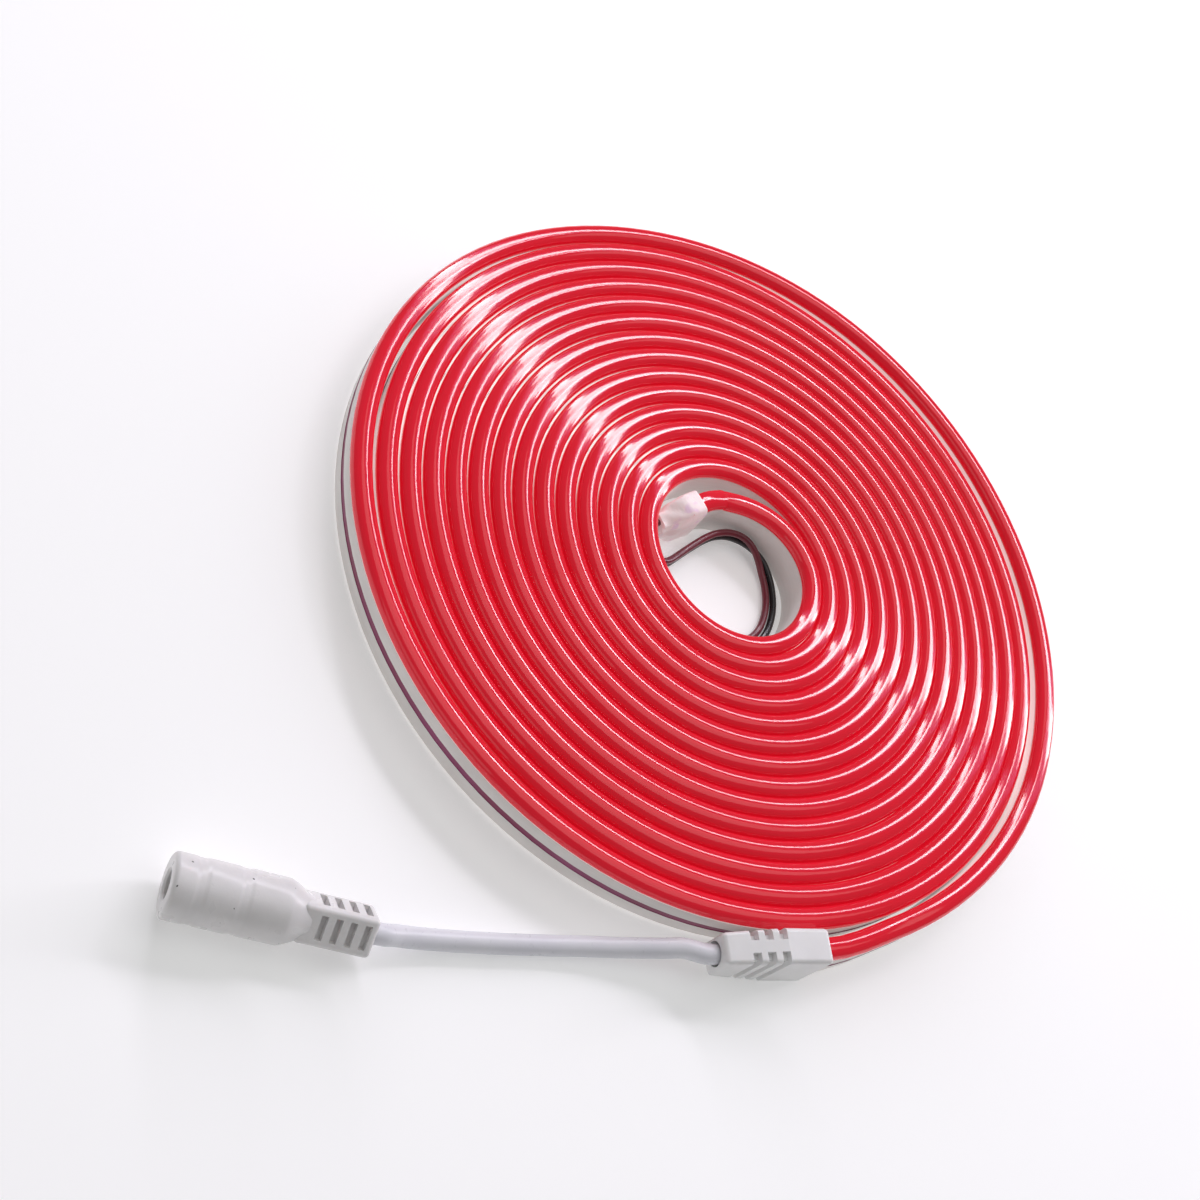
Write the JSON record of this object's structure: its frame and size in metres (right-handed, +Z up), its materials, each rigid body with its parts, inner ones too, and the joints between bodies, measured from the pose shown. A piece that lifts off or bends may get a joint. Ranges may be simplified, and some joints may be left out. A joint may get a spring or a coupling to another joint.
{
  "type": "led neon flex",
  "caption": "Reel of narrow LED neon flex wound flat with its lit side up, with end caps, a short lead with a round DC socket, and bare-ended tail wires.",
  "frame": {"origin": "middle of the underside of the wound flex and its two end caps, on the floor that the reel lies on", "axes": "+Z up, along the reel's winding axis, out of the lit side; the lead leaves the rim towards -Y and its socket's mouth faces -X and -Y"},
  "size_m": [0.1886, 0.2505, 0.014],
  "materials": {
    "base_white": "satin off-white extruded silicone",
    "diffuser_red": "glossy red translucent dome",
    "cap_white": "satin white moulded cap",
    "sleeve_white": "soft pinkish white sleeve",
    "cable_white": "smooth white cable jacket",
    "jack_white": "white moulded socket",
    "wire_red": "dark red wire insulation",
    "wire_black": "black wire insulation",
    "contact_metal": "bright tinned metal"
  },
  "bodies": {
    "root": {"flex_base": "base_white", "flex_diffuser": "diffuser_red", "lead_end_cap": "cap_white", "tail_end_cap": "sleeve_white", "lead_cable": "cable_white", "jack_housing": "jack_white", "jack_pin": "contact_metal", "tail_wire_red": "wire_red", "tail_wire_black": "wire_black", "tail_wire_red_bare_end": "contact_metal", "tail_wire_black_bare_end": "contact_metal"}
  },
  "joints": []
}
